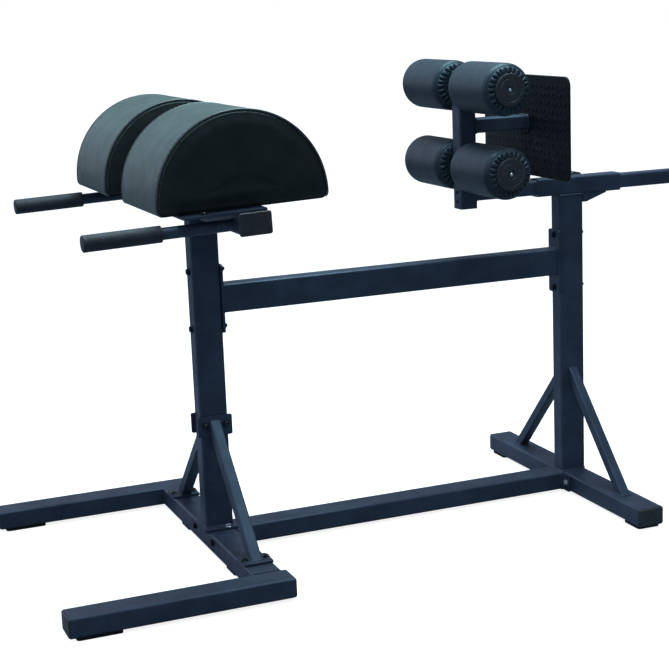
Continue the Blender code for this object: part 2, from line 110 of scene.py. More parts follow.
studio = {
    "frontGlow": 0.85,     # what the dark side of the room gives, towards -Y
    "backGlow": 1.05,      # the backdrop's left half, towards +Y and -X
    "backFade": 0.22,      # how much of that is left on the backdrop's right half
    "topGlow": 0.65,
    "cool": "#e0eaff",
    "floorBounce": "#7e8790",
    "softboxes": (
        # name, place, aimed at, width, height, watts, colour
        ("overheadSoftbox", (0.3, 0.1, 3.4), (0.0, 0.0, 0.6), 2.2, 1.8, 180, "#cdeef4"),
        ("leftSoftbox", (-3.6, 1.2, 2.0), (-0.2, 0.0, 0.6), 1.8, 2.4, 14, "#cddcff"),
    ),
}


def lightStudio():
    world = bpy.data.worlds.new("studioWorld")
    world.use_nodes = True
    scene.world = world
    tree = world.node_tree
    tree.nodes.clear()
    direction = addNode(tree, "TexCoord")
    parts = addNode(tree, "SeparateXYZ", links={0: (direction, "Generated")})
    behind = addNode(tree, "MapRange", {"From Min": -0.35, "From Max": 0.55, "To Min": studio["frontGlow"],
                                        "To Max": studio["backGlow"], "interpolation_type": "SMOOTHSTEP"},
                     {"Value": (parts, "Y")})
    across = addNode(tree, "MapRange", {"From Min": -0.45, "From Max": 0.40, "To Min": 1.0,
                                        "To Max": studio["backFade"], "interpolation_type": "SMOOTHSTEP"},
                     {"Value": (parts, "X")})
    backdrop = addNode(tree, "Math", {"operation": "MULTIPLY"}, {0: (behind, "Result"), 1: (across, "Result")})
    above = addNode(tree, "MapRange", {"From Min": 0.55, "From Max": 1.0, "To Min": 0.0,
                                       "To Max": studio["topGlow"], "interpolation_type": "SMOOTHSTEP"},
                    {"Value": (parts, "Z")})
    glow = addNode(tree, "Math", {"operation": "MAXIMUM"}, {0: (backdrop, "Value"), 1: (above, "Result")})
    lamp = addNode(tree, "Background", {"Color": linearColour(studio["cool"])},
                   {"Strength": (glow, "Value")})
    plain = addNode(tree, "Background", {"Color": (1.0, 1.0, 1.0, 1.0), "Strength": 1.0})
    path = addNode(tree, "LightPath")
    both = addNode(tree, "MixShader", links={0: (path, "Is Camera Ray"), 1: (lamp, 0), 2: (plain, 0)})
    addNode(tree, "OutputWorld", links={"Surface": (both, 0)})
    for name, place, aim, width, height, watts, colour in studio["softboxes"]:
        data = bpy.data.lights.new(name, "AREA")
        data.shape = "RECTANGLE"
        data.size, data.size_y = width, height
        data.energy = watts
        data.color = linearColour(colour)[:3]
        lamp = bpy.data.objects.new(name, data)
        lamp.location = place
        lamp.rotation_mode = "QUATERNION"
        lamp.rotation_quaternion = (Vector(aim) - Vector(place)).to_track_quat("-Z", "Y")
        scene.collection.objects.link(lamp)


def layFloor():
    # Flat disc in rings: point(ring, angle) = ring radius * (cos, sin) at height 0
    radii = np.array([0.5, 1.5, 4.0, 12.0, 60.0])
    angle = np.linspace(0, math.tau, 96, endpoint=False)
    flat = np.stack([np.outer(radii, np.cos(angle)), np.outer(radii, np.sin(angle)),
                     np.full((len(radii), len(angle)), -0.0005)], axis=-1)
    index = np.arange(flat.shape[0] * flat.shape[1]).reshape(flat.shape[:2])
    index = np.hstack([index, index[:, :1]])
    quads = np.stack([index[:-1, :-1], index[1:, :-1], index[1:, 1:], index[:-1, 1:]], axis=-1)
    mesh = bpy.data.meshes.new("studioFloor")
    mesh.from_pydata(flat.reshape(-1, 3).tolist(), [], quads.reshape(-1, 4).tolist()
                     + [index[0, :-1].tolist()])
    floor = bpy.data.objects.new("studioFloor", mesh)
    scene.collection.objects.link(floor)
    # Seen directly the floor is lit up to the backdrop's white and keeps a faint contact shadow;
    # what it throws back on the object is as weak as from a floor much larger than the lit part
    material = bpy.data.materials.new("paleStudioFloor")
    material.use_nodes = True
    tree = material.node_tree
    tree.nodes.clear()
    glow = addNode(tree, "Emission", {"Color": (1.0, 1.0, 1.0, 1.0), "Strength": 0.86})
    paint = addNode(tree, "BsdfDiffuse", {"Color": linearColour("#b4b8bc")})
    lit = addNode(tree, "AddShader", links={0: (glow, 0), 1: (paint, 0)})
    bounce = addNode(tree, "BsdfDiffuse", {"Color": linearColour(studio["floorBounce"])})
    path = addNode(tree, "LightPath")
    both = addNode(tree, "MixShader", links={0: (path, "Is Camera Ray"), 1: (bounce, 0), 2: (lit, 0)})
    # From underneath the floor is clear, so that the bench's underside can be seen
    facing = addNode(tree, "NewGeometry")
    clear = addNode(tree, "BsdfTransparent")
    oneSided = addNode(tree, "MixShader", links={0: (facing, "Backfacing"), 1: (both, 0), 2: (clear, 0)})
    addNode(tree, "OutputMaterial", links={"Surface": (oneSided, 0)})
    mesh.materials.append(material)


lightStudio()
layFloor()
print("studio lit")


# ---- materials
# Sizes are in millimetres. A grain finer than about 3 mm would not show from where the camera
# stands, so powder, vinyl and rubber are drawn as coarse as they need to be seen.

finishes = {
    # satin polyester powder coat on steel: near black with a blue cast, a soft orange peel
    "powderCoatSatin": {
        "dark": "#242b38", "light": "#2e3746", "toneMm": 70, "roughness": (0.38, 0.47), "patchMm": 28,
        "grain": "noise", "grainMm": 3.0, "grainDepthMm": 0.035, "specular": 0.46, "gloss": "#b6d2f0",
    },
    # heavily textured powder coat on the foot plate: pebbled, so it scatters light and looks dull
    "powderCoatPebbled": {
        "dark": "#07090b", "light": "#0e1215", "toneMm": 24, "roughness": (0.55, 0.72), "patchMm": 18,
        "grain": "pebble", "grainMm": 4.0, "grainDepthMm": 0.16, "specular": 0.25, "gloss": "#b4c8dc",
    },
    # PVC upholstery vinyl on firm foam: fine leather grain, grey sheen where light grazes it
    "upholsteryVinyl": {
        "dark": "#2e3a38", "light": "#384644", "toneMm": 55, "roughness": (0.48, 0.60), "patchMm": 35,
        "grain": "pebble", "grainMm": 3.4, "grainDepthMm": 0.10, "specular": 0.45, "gloss": "#bcd2ce",
        "sheen": 0.10,
    },
    # the vinyl on the pads' flat side panels, with a shallower grain; its darker colour is painted shade, for
    # faces turned away from the light
    "sideVinylPaintedShade": {
        "dark": "#171c1b", "light": "#1e2322", "toneMm": 60, "roughness": (0.52, 0.64), "patchMm": 30,
        "grain": "pebble", "grainMm": 3.4, "grainDepthMm": 0.07, "specular": 0.3, "gloss": "#b4d2d4",
    },
    # the same vinyl pulled tight over cord: smoother and glossier, so it catches a thin light line
    "pipingVinyl": {
        "dark": "#20272c", "light": "#2b343a", "toneMm": 20, "roughness": (0.34, 0.42), "patchMm": 12,
        "grain": "noise", "grainMm": 3.0, "grainDepthMm": 0.03, "specular": 0.6,
    },
    # thin stretch vinyl on the rollers: slate blue, almost smooth
    "rollerVinyl": {
        "dark": "#161f27", "light": "#1c2832", "toneMm": 40, "roughness": (0.44, 0.54), "patchMm": 25,
        "grain": "pebble", "grainMm": 3.0, "grainDepthMm": 0.06, "specular": 0.42, "gloss": "#b0cede",
        "sheen": 0.03,
    },
    # injection moulded ABS with a spark-eroded texture: dead flat dark grey
    "mouldedPlastic": {
        "dark": "#191e23", "light": "#242a30", "toneMm": 16, "roughness": (0.48, 0.60), "patchMm": 10,
        "grain": "noise", "grainMm": 2.6, "grainDepthMm": 0.05, "specular": 0.45,
    },
    # nitrile foam sleeve on the handles: dull, faintly open-celled
    "gripRubber": {
        "dark": "#141922", "light": "#1f2632", "toneMm": 22, "roughness": (0.60, 0.72), "patchMm": 14,
        "grain": "pebble", "grainMm": 3.0, "grainDepthMm": 0.10, "specular": 0.4, "sheen": 0.1,
    },
    # moulded black rubber feet
    "footRubber": {
        "dark": "#0b0c0e", "light": "#121417", "toneMm": 15, "roughness": (0.70, 0.85), "patchMm": 9,
        "grain": "noise", "grainMm": 3.0, "grainDepthMm": 0.06, "specular": 0.3,
    },
    # bright zinc plated steel: pale, slightly mottled by the passivation
    "zincPlate": {
        "dark": "#9aa3ab", "light": "#c4cbd1", "toneMm": 9, "roughness": (0.24, 0.38), "patchMm": 5,
        "grain": "noise", "grainMm": 2.4, "grainDepthMm": 0.015, "metallic": 1.0,
    },
    # oiled black oxide on bolts: dark steel with a tight highlight
    "blackOxideSteel": {
        "dark": "#23272d", "light": "#3a4048", "toneMm": 6, "roughness": (0.28, 0.42), "patchMm": 4,
        "grain": "noise", "grainMm": 2.2, "grainDepthMm": 0.02, "metallic": 1.0,
    },
    # birch plywood board under each pad
    "birchPlywood": {
        "dark": "#a27d4c", "light": "#c39c66", "toneMm": 14, "roughness": (0.62, 0.78), "patchMm": 8,
        "grain": "noise", "grainMm": 3.0, "grainDepthMm": 0.05, "specular": 0.35,
    },
    # natural nylon bushes
    "naturalNylon": {
        "dark": "#b9b8ae", "light": "#d0cfc6", "toneMm": 12, "roughness": (0.40, 0.50), "patchMm": 8,
        "grain": "noise", "grainMm": 2.5, "grainDepthMm": 0.02, "specular": 0.5,
    },
}


def surfaceFinish(name):
    spec = finishes[name]
    material = bpy.data.materials.new(name)
    material.use_nodes = True
    tree = material.node_tree
    shader = tree.nodes["Principled BSDF"]
    spot = addNode(tree, "TexCoord")
    vector = {"Vector": (spot, "Object")}
    cloud = addNode(tree, "TexNoise", {"Scale": 1000 / spec["toneMm"], "Detail": 3.0, "Roughness": 0.55},
                    vector)
    share = addNode(tree, "MapRange", {"From Min": 0.35, "From Max": 0.65}, {"Value": (cloud, "Fac")})
    tone = addNode(tree, "Mix", {"data_type": "RGBA", 6: linearColour(spec["dark"]),
                                 7: linearColour(spec["light"])}, {0: (share, "Result")})
    tree.links.new(tone.outputs[2], shader.inputs["Base Color"])
    patch = addNode(tree, "TexNoise", {"Scale": 1000 / spec["patchMm"], "Detail": 4.0}, vector)
    gloss = addNode(tree, "MapRange", {"From Min": 0.3, "From Max": 0.7, "To Min": spec["roughness"][0],
                                       "To Max": spec["roughness"][1]}, {"Value": (patch, "Fac")})
    tree.links.new(gloss.outputs["Result"], shader.inputs["Roughness"])
    if spec["grain"] == "pebble":
        cells = addNode(tree, "TexVoronoi", {"feature": "SMOOTH_F1", "Scale": 1000 / spec["grainMm"],
                                             "Smoothness": 0.35, "Randomness": 0.9}, vector)
        height = (cells, "Distance")
    else:
        cells = addNode(tree, "TexNoise", {"Scale": 1000 / spec["grainMm"], "Detail": 2.0}, vector)
        height = (cells, "Fac")
    bump = addNode(tree, "Bump", {"Strength": 0.9, "Distance": spec["grainDepthMm"] / 1000},
                   {"Height": height})
    tree.links.new(bump.outputs["Normal"], shader.inputs["Normal"])
    shader.inputs["Metallic"].default_value = spec.get("metallic", 0.0)
    shader.inputs["Specular IOR Level"].default_value = spec.get("specular", 0.5)
    if "gloss" in spec:
        shader.inputs["Specular Tint"].default_value = linearColour(spec["gloss"])
    if "sheen" in spec:
        shader.inputs["Sheen Weight"].default_value = spec["sheen"]
        shader.inputs["Sheen Roughness"].default_value = 0.45
        shader.inputs["Sheen Tint"].default_value = linearColour("#b9d0d4")
    return material


materials = {name: surfaceFinish(name) for name in finishes}
finishOfSlot = {
    "frame_coat": "powderCoatSatin", "textured_coat": "powderCoatPebbled",
    "cap_plastic": "mouldedPlastic", "knob_plastic": "mouldedPlastic", "disc_plastic": "mouldedPlastic",
    "foot_rubber": "footRubber", "grip_rubber": "gripRubber", "pad_vinyl": "upholsteryVinyl",
    "pad_board_wood": "birchPlywood", "roller_vinyl": "rollerVinyl", "bush_nylon": "naturalNylon",
    "zinc_steel": "zincPlate",
}
for name, node in frame["nodes"].items():
    node.data.materials.clear()
    node.data.materials.append(materials[finishOfSlot[slotOfNode[name]]])
print("materials made:", len(materials))


# ---- shells: closed surfaces from grids of points

def gridShell(grid, wrapRows=False, caps=True):
    # Quads join neighbours of the grid; columns always close on themselves. Rows close too, or
    # each end gets a fan about its middle. Faces are turned round if the signed volume is negative.
    rows, columns = grid.shape[:2]
    points = grid.reshape(-1, 3)
    index = np.arange(rows * columns).reshape(rows, columns)
    if wrapRows:
        index = np.vstack([index, index[:1]])
    index = np.hstack([index, index[:, :1]])
    quads = np.stack([index[:-1, :-1], index[:-1, 1:], index[1:, 1:], index[1:, :-1]], axis=-1)
    quads = quads.reshape(-1, 4)
    fans = np.empty((0, 3), int)
    if caps and not wrapRows:
        middles = np.stack([grid[0].mean(0), grid[-1].mean(0)])
        first, last = len(points), len(points) + 1
        points = np.vstack([points, middles])
        start = np.stack([index[0, 1:], index[0, :-1], np.full(columns, first)], axis=-1)
        end = np.stack([index[-1, :-1], index[-1, 1:], np.full(columns, last)], axis=-1)
        fans = np.vstack([start, end])
    corners = np.vstack([quads[:, [0, 1, 2]], quads[:, [0, 2, 3]], fans])
    a, b, c = (points[corners[:, k]] - points.mean(0) for k in range(3))
    if np.einsum("ij,ij->i", a, np.cross(b, c)).sum() < 0:
        quads, fans = quads[:, ::-1], fans[:, ::-1]
    return points, quads, fans


def makePiece(name, shells, finish, body, smoothAngle=40):
    points, loops, totals, offset = [], [], [], 0
    for shellPoints, quads, fans in shells:
        points.append(shellPoints)
        for faces in (quads, fans):
            loops.append((faces + offset).ravel())
            totals.append(np.full(len(faces), faces.shape[1]))
        offset += len(shellPoints)
    points, loops, totals = np.vstack(points), np.concatenate(loops), np.concatenate(totals)
    mesh = bpy.data.meshes.new(name)
    mesh.vertices.add(len(points))
    mesh.vertices.foreach_set("co", points.astype(np.float32).ravel())
    mesh.loops.add(len(loops))
    mesh.loops.foreach_set("vertex_index", loops.astype(np.int32))
    mesh.polygons.add(len(totals))
    mesh.polygons.foreach_set("loop_start", (np.cumsum(totals) - totals).astype(np.int32))
    mesh.polygons.foreach_set("loop_total", totals.astype(np.int32))
    mesh.update(calc_edges=True)
    mesh.validate()
    mesh.shade_smooth()
    mesh.set_sharp_from_angle(angle=math.radians(smoothAngle))
    mesh.materials.append(materials[finish])
    piece = bpy.data.objects.new(name, mesh)
    scene.collection.objects.link(piece)
    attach(piece, body)
    return piece


def turnedGrid(along, radius, columns, centre, axis, lobes=None):
    # Revolved profile: point(k, a) = centre + axis * along(k) + radius(k) * (cos a, sin a) across.
    # lobes, if given, multiplies the radius by a value for each column.
    along, radius = np.asarray(along, float), np.asarray(radius, float)
    axis = Vector(axis).normalized()
    across = axis.orthogonal().normalized() if abs(axis.z) > 0.5 else Vector((0, 0, 1))
    other = np.array(axis.cross(across))
    angle = np.linspace(0, math.tau, columns, endpoint=False)
    reach = radius[:, None] * (np.ones(columns) if lobes is None else lobes)
    return (np.array(centre) + along[:, None, None] * np.array(axis)
            + (reach * np.cos(angle))[..., None] * np.array(across)
            + (reach * np.sin(angle))[..., None] * other)


def sweptShell(path, radius, planeNormal, columns, closed=True):
    # Tube along a flat path: point(s, a) = path(s) + radius(s) (cos a normal + sin a tangent x normal)
    normal = np.array(planeNormal, float)
    if closed:
        tangent = np.roll(path, -1, axis=0) - np.roll(path, 1, axis=0)
    else:
        tangent = np.gradient(path, axis=0)
    tangent /= np.linalg.norm(tangent, axis=1, keepdims=True)
    outward = np.cross(tangent, normal)
    angle = np.linspace(0, math.tau, columns, endpoint=False)
    radius = np.broadcast_to(radius, len(path))[:, None, None]
    grid = path[:, None] + radius * (np.cos(angle)[None, :, None] * normal
                                     + np.sin(angle)[None, :, None] * outward[:, None])
    return gridShell(grid, wrapRows=closed)


def evenPath(points, count, closed=True):
    # The same line with points evenly spaced along its length
    points = np.vstack([points, points[:1]]) if closed else np.asarray(points)
    length = np.concatenate([[0], np.cumsum(np.linalg.norm(np.diff(points, axis=0), axis=1))])
    spots = np.linspace(0, length[-1], count, endpoint=not closed)
    return np.stack([np.interp(spots, length, points[:, k]) for k in range(points.shape[1])], axis=-1)


def roundedRectangle(width, height, corner, steps=6):
    # Anticlockwise outline: each corner is a quarter circle about (+-width/2, +-height/2) less corner
    quarter = np.linspace(0, math.pi / 2, steps)
    outline = []
    for turn, (signU, signV) in enumerate(((1, 1), (-1, 1), (-1, -1), (1, -1))):
        angle = quarter + turn * math.pi / 2
        outline.append(np.stack([signU * (width / 2 - corner) + corner * np.cos(angle),
                                 signV * (height / 2 - corner) + corner * np.sin(angle)], axis=-1))
    return np.vstack(outline)


# ---- the handle carrier and all that stands on it lean down towards the front

carrierPitch = {"degrees": 2.0, "pivotX": -0.489, "pivotZ": 0.899}


def pitched(points, back=False):
    # x' = px + dx cos a - dz sin a, z' = pz + dz cos a + dx sin a, about the middle of the post's top
    angle = math.radians(-carrierPitch["degrees"] if back else carrierPitch["degrees"])
    dx = points[..., 0] - carrierPitch["pivotX"]
    dz = points[..., 2] - carrierPitch["pivotZ"]
    return np.stack([carrierPitch["pivotX"] + dx * math.cos(angle) - dz * math.sin(angle), points[..., 1],
                     carrierPitch["pivotZ"] + dz * math.cos(angle) + dx * math.sin(angle)], axis=-1)


def pitchedShells(shells):
    return [(pitched(points), quads, fans) for points, quads, fans in shells]


def levelBox(name):
    # The node's box as it would be with the carrier level
    node = frame["nodes"][name]
    corners = np.empty(len(node.data.vertices) * 3)
    node.data.vertices.foreach_get("co", corners)
    turn = np.array(node.matrix_world)
    points = pitched(corners.reshape(-1, 3) @ turn[:3, :3].T + turn[:3, 3], back=True)
    return Vector(points.min(0)), Vector(points.max(0))


# ---- pads: foam on a board under stretched vinyl, with a piped seam along both curved edges

padShape = {
    "columns": 250,         # points round the half-round outline
    "acrossMm": 5.5,        # spacing across the width
    "bottomCorner": 0.017,
    "edgeRadius": 0.008,    # how far the cover rounds over into its flat sides
    "inset": 0.0020,        # the foam starts this much smaller, and the pressure swells it out
    "swellCap": 0.0055,
    "grooveDepth": 0.0032,
    "grooveWidth": 0.0042,
    "puckerDepth": 0.00035,
    "puckerPitch": 0.016,
    "pipingRadius": 0.0026,
}


def padOutline(radius, centreX, arcZ, bottom, corner, count):
    # Half circle of that radius, short uprights, round bottom corners and a flat bottom
    arc = np.linspace(0, math.pi, 121)
    dome = np.stack([centreX + radius * np.cos(arc), arcZ + radius * np.sin(arc)], axis=-1)
    turn = np.linspace(math.pi, 1.5 * math.pi, 16)
    low = bottom + corner
    frontCorner = np.stack([centreX - radius + corner + corner * np.cos(turn),
                            low + corner * np.sin(turn)], axis=-1)
    rearCorner = np.stack([2 * centreX - frontCorner[::-1, 0], frontCorner[::-1, 1]], axis=-1)
    return evenPath(np.vstack([dome, frontCorner, rearCorner]), count)


def outlineNormals(outline):
    tangent = np.roll(outline, -1, axis=0) - np.roll(outline, 1, axis=0)
    tangent /= np.linalg.norm(tangent, axis=1, keepdims=True)
    return np.stack([tangent[:, 1], -tangent[:, 0]], axis=-1)


def padStations(width, edge):
    # Rows across the pad as (y, inset, shrink): shrinking rings on one side, a quarter-round edge,
    # even steps over the curved panel, then the other edge and side
    shrink = np.linspace(0.05, 1.0, 34) ** 0.85
    side = [(0.0, edge, s) for s in shrink[:-1]]
    turn = np.linspace(0, math.pi / 2, 7)
    rim = [(edge * (1 - math.sin(a)), edge * (1 - math.cos(a)), 1.0) for a in turn[::-1]]
    rim = [(edge - y, edge - d, s) for y, d, s in rim][::-1]
    steps = int(round((width - 2 * edge) / (padShape["acrossMm"] / 1000)))
    middle = [(y, 0.0, 1.0) for y in np.linspace(edge, width - edge, steps + 1)[1:-1]]
    half = side + rim
    return np.array(half + middle + [(width - y, d, s) for y, d, s in half[::-1]]), len(side), len(rim)


def padGrid():
    low, high = levelBox("pad_left")
    boardLow = levelBox("pad_board_left")[0]
    inset = padShape["inset"]
    edge = padShape["edgeRadius"]
    radius = (high.x - low.x) / 2 - inset
    centreX = (high.x + low.x) / 2
    arcZ = high.z - inset - radius
    outline = padOutline(radius, centreX, arcZ, boardLow.z + 0.0006, padShape["bottomCorner"],
                         padShape["columns"])
    normals = outlineNormals(outline)
    width = high.y - low.y - 2 * inset
    stations, sideRows, rimRows = padStations(width, edge)
    ring = outline - normals * stations[:, 1][:, None, None]
    hub = np.array([centreX, arcZ + radius * 0.30])
    ring = hub + (ring - hub) * stations[:, 2][:, None, None]
    y = low.y + inset + stations[:, 0]
    grid = np.stack([ring[..., 0], np.broadcast_to(y[:, None], ring.shape[:2]), ring[..., 1]], axis=-1)
    return grid, stations, outline, normals, sideRows, rimRows


def swell(grid, pinned, frames=20):
    # Cloth with inner pressure and no gravity; pinned points hold, the panels between them fill out
    points, quads, fans = gridShell(grid)
    mesh = bpy.data.meshes.new("swellingCover")
    mesh.from_pydata(points.tolist(), [], quads.tolist() + fans.tolist())
    cover = bpy.data.objects.new("swellingCover", mesh)
    scene.collection.objects.link(cover)
    group = cover.vertex_groups.new(name="held")
    held = np.flatnonzero(pinned.ravel())
    group.add(held.tolist(), 1.0, "REPLACE")
    cloth = cover.modifiers.new("cover", "CLOTH")
    settings = cloth.settings
    settings.quality = 5
    settings.mass = 0.25
    settings.tension_stiffness = 22
    settings.compression_stiffness = 22
    settings.shear_stiffness = 12
    settings.bending_stiffness = 2.0
    settings.vertex_group_mass = "held"
    settings.use_pressure = True
    settings.uniform_pressure_force = 4.0
    settings.effector_weights.gravity = 0.0
    cloth.point_cache.frame_start, cloth.point_cache.frame_end = 1, frames
    for step in range(1, frames + 1):
        scene.frame_set(step)
    shown = cover.evaluated_get(bpy.context.evaluated_depsgraph_get())
    moved = np.empty(len(points) * 3, np.float32)
    shown.data.vertices.foreach_get("co", moved)
    scene.frame_set(1)
    bpy.data.objects.remove(cover, do_unlink=True)
    return moved.reshape(-1, 3)[:grid.shape[0] * grid.shape[1]].reshape(grid.shape) - grid


def smoothRows(values, rounds):
    for _ in range(rounds):
        values = (np.roll(values, 1, axis=1) + 2 * values + np.roll(values, -1, axis=1)) / 4
        values[1:-1] = (values[:-2] + 2 * values[1:-1] + values[2:]) / 4
    return values


def gridNormals(grid):
    across = np.gradient(grid, axis=0)
    along = np.roll(grid, -1, axis=1) - np.roll(grid, 1, axis=1)
    normal = np.cross(along, across)
    normal /= np.maximum(np.linalg.norm(normal, axis=2, keepdims=True), 1e-9)
    outward = grid - grid.reshape(-1, 3).mean(0)
    return normal * np.sign(np.einsum("ijk,ijk->ij", normal, outward).sum())


def makePads():
    grid, stations, outline, normals, sideRows, rimRows = padGrid()
    rows = np.arange(len(stations))
    seamRow = sideRows + (rimRows - 1) / 2           # the middle of the rounded edge
    fromSeam = np.minimum(np.abs(rows - seamRow), np.abs(rows - (len(rows) - 1 - seamRow)))
    bottom = grid[..., 2].min()
    pinned = (fromSeam[:, None] <= 1.5) | (grid[..., 2] < bottom + 0.004)
    move = swell(grid, pinned)
    length = np.maximum(np.linalg.norm(move, axis=2, keepdims=True), 1e-9)
    move *= np.minimum(1.0, padShape["swellCap"] / length)
    # The swelling fades out over the lowest 30 mm, where the cover is stapled under the board
    move *= (np.clip((grid[..., 2] - bottom - 0.004) / 0.030, 0, 1) ** 2)[..., None]
    cover = grid + smoothRows(move, 6)
    # Groove either side of the piping, deepest at the seam and fading as a bell curve
    spacing = np.concatenate([[0], np.cumsum(np.linalg.norm(np.diff(grid[:, 60], axis=0), axis=1))])
    seams = np.interp([seamRow, len(rows) - 1 - seamRow], rows, spacing)
    distance = np.abs(spacing[:, None] - seams).min(axis=1)
    groove = padShape["grooveDepth"] * np.exp(-(distance / padShape["grooveWidth"]) ** 2)
    # Puckers: small waves along the seam that die out within about 14 mm of it
    step = np.linalg.norm(np.diff(outline, axis=0), axis=1).mean()
    wave = np.cos(math.tau * np.arange(len(outline)) * step / padShape["puckerPitch"])
    pucker = padShape["puckerDepth"] * np.exp(-(distance / 0.014) ** 2)[:, None] * wave
    above = np.clip((cover[..., 2] - bottom) / 0.012, 0, 1)
    cover -= gridNormals(cover) * ((groove[:, None] + pucker) * above)[..., None]
    # Piping: the outline pulled in to the middle of the rounded edge
    edge = padShape["edgeRadius"]
    reach = edge * (1 - math.sqrt(0.5)) - 0.0004
    low, high = levelBox("pad_left")
    line = outline - normals * reach
    keep = line[:, 1] > bottom + 0.003
    start = np.flatnonzero(~keep & np.roll(keep, -1))[0] + 1
    line = np.roll(line, -start, axis=0)[:keep.sum()]
    line = evenPath(line, 420, closed=False)
    for side, sign in sides:
        flip = np.array([1, sign, 1])
        pad = makePiece(f"padCover_{side}", [gridShell(pitched(cover * flip))], "upholsteryVinyl", "frame",
                        50)
        # The flat side panels get a plainer vinyl whose darker colour is painted shade, chosen for faces that
        # point along the pad's width
        pad.data.materials.append(materials["sideVinylPaintedShade"])
        facing = np.empty(len(pad.data.polygons) * 3)
        pad.data.polygons.foreach_get("normal", facing)
        pad.data.polygons.foreach_set("material_index", (np.abs(facing[1::3]) > 0.72).astype(np.int32))
        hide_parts(f"pad_{side}", f"pad_board_{side}")
        cords = []
        for y in (low.y + padShape["inset"] + reach, high.y - padShape["inset"] - reach):
            path = pitched(np.stack([line[:, 0], np.full(len(line), sign * y), line[:, 1]], axis=-1))
            cords.append(sweptShell(path, padShape["pipingRadius"], (0, 1, 0), 12, closed=False))
        makePiece(f"padPiping_{side}", cords, "pipingVinyl", "frame", 60)


makePads()
print("pads upholstered")


# ---- rollers: foam in stretch vinyl, gathered into pleats round the disc at the outer end

rollerShape = {
    "pleats": 24,
    "columnsPerPleat": 14,
    "shoulder": 0.026,
    "pleatFrom": 0.0430,     # pleats run between these radii, over the shoulder
    "pleatTo": 0.0600,
    "pleatDepth": 0.0085,
    "gatherRadius": 0.0612,  # a stitched ring pulls the cover in just outside them
    "gatherDepth": 0.0012,
    "seed": 7,
}
discShape = {"radius": 0.0425, "thickness": 0.0055, "ring": 0.030, "ringDepth": 0.0009, "boltRadius": 0.0048}


def rollerGrid(low, high, centreX, centreZ, sign, rng):
    # Profile (along, radius) from the bore at the inner end, over a rounded shoulder, along the
    # foam, over the outer shoulder and in to the bore again. Between two radii the cover is pleated:
    # shift(a) = depth * window(radius) * (|cos(n a / 2)| ^ 0.5 - 0.8), each pleat a little different.
    shape = rollerShape
    bore = 0.0135
    radius = (high.x - low.x) / 2
    inner, outer = (low.y, high.y) if sign > 0 else (-high.y, -low.y)
    shoulder = shape["shoulder"]
    quarter = np.linspace(0, math.pi / 2, 44)
    endFlat = np.linspace(bore, radius - shoulder, 6)
    innerEnd = np.stack([np.full(6, inner), endFlat], axis=-1)
    innerArc = np.stack([inner + shoulder * (1 - np.sin(quarter)),
                         radius - shoulder + shoulder * np.cos(quarter)], axis=-1)[::-1]
    body = np.stack([np.linspace(inner + shoulder, outer - shoulder, 16)[1:-1], np.full(14, radius)], axis=-1)
    outerArc = np.stack([outer - shoulder * (1 - np.sin(quarter)),
                         radius - shoulder + shoulder * np.cos(quarter)], axis=-1)
    outerEnd = np.stack([np.full(6, outer), endFlat[::-1]], axis=-1)
    profile = np.vstack([innerEnd, innerArc[1:], body, outerArc, outerEnd[1:]])
    tangent = np.gradient(profile, axis=0)
    tangent /= np.linalg.norm(tangent, axis=1, keepdims=True)
    normal = np.stack([-tangent[:, 1], tangent[:, 0]], axis=-1)
    normal *= np.where((normal * (profile - [(inner + outer) / 2, radius * 0.5])).sum(1) < 0, -1, 1)[:, None]
    columns = shape["pleats"] * shape["columnsPerPleat"]
    angle = np.linspace(0, math.tau, columns, endpoint=False)
    pleat = (angle / math.tau * shape["pleats"]).astype(int)
    drift = 0.20 * np.sin(angle * 3 + rng.uniform(0, 6)) + 0.14 * np.sin(angle * 7 + rng.uniform(0, 6))
    fold = np.abs(np.cos((angle * shape["pleats"] + drift * 4) / 2)) ** 0.5 - 0.8
    strength = rng.uniform(0.6, 1.1, shape["pleats"] + 1)[pleat]
    strength = np.convolve(np.concatenate([strength[-3:], strength, strength[:3]]), np.ones(7) / 7, "valid")
    reach = profile[:, 1]
    window = (np.clip((reach - shape["pleatFrom"]) / 0.0035, 0, 1)
              * np.clip((shape["pleatTo"] - reach) / 0.0055, 0, 1))
    gather = shape["gatherDepth"] * np.exp(-((reach - shape["gatherRadius"]) / 0.0011) ** 2)
    shift = shape["pleatDepth"] * window[:, None] * (fold * strength)[None] - gather[:, None]
    along = profile[:, 0][:, None] + normal[:, 0][:, None] * shift
    reach = profile[:, 1][:, None] + normal[:, 1][:, None] * shift
    return np.stack([centreX + reach * np.cos(angle), sign * along, centreZ + reach * np.sin(angle)], axis=-1)


def makeRollers():
    rng = np.random.default_rng(rollerShape["seed"])
    for level in ("upper", "lower"):
        axleLow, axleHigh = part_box(f"roller_axle_{level}")
        centreX, centreZ = (axleLow.x + axleHigh.x) / 2, (axleLow.z + axleHigh.z) / 2
        for side, sign in sides:
            low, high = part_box(f"roller_{level}_{side}")
            grid = rollerGrid(low, high, centreX, centreZ, sign, rng)
            roller = makePiece(f"rollerCover_{level}_{side}", [gridShell(grid, wrapRows=True)],
                               "rollerVinyl", f"roller_{level}_{side}_body", 60)
            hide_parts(f"roller_{level}_{side}")
            makeDisc(level, side, sign, centreX, centreZ)


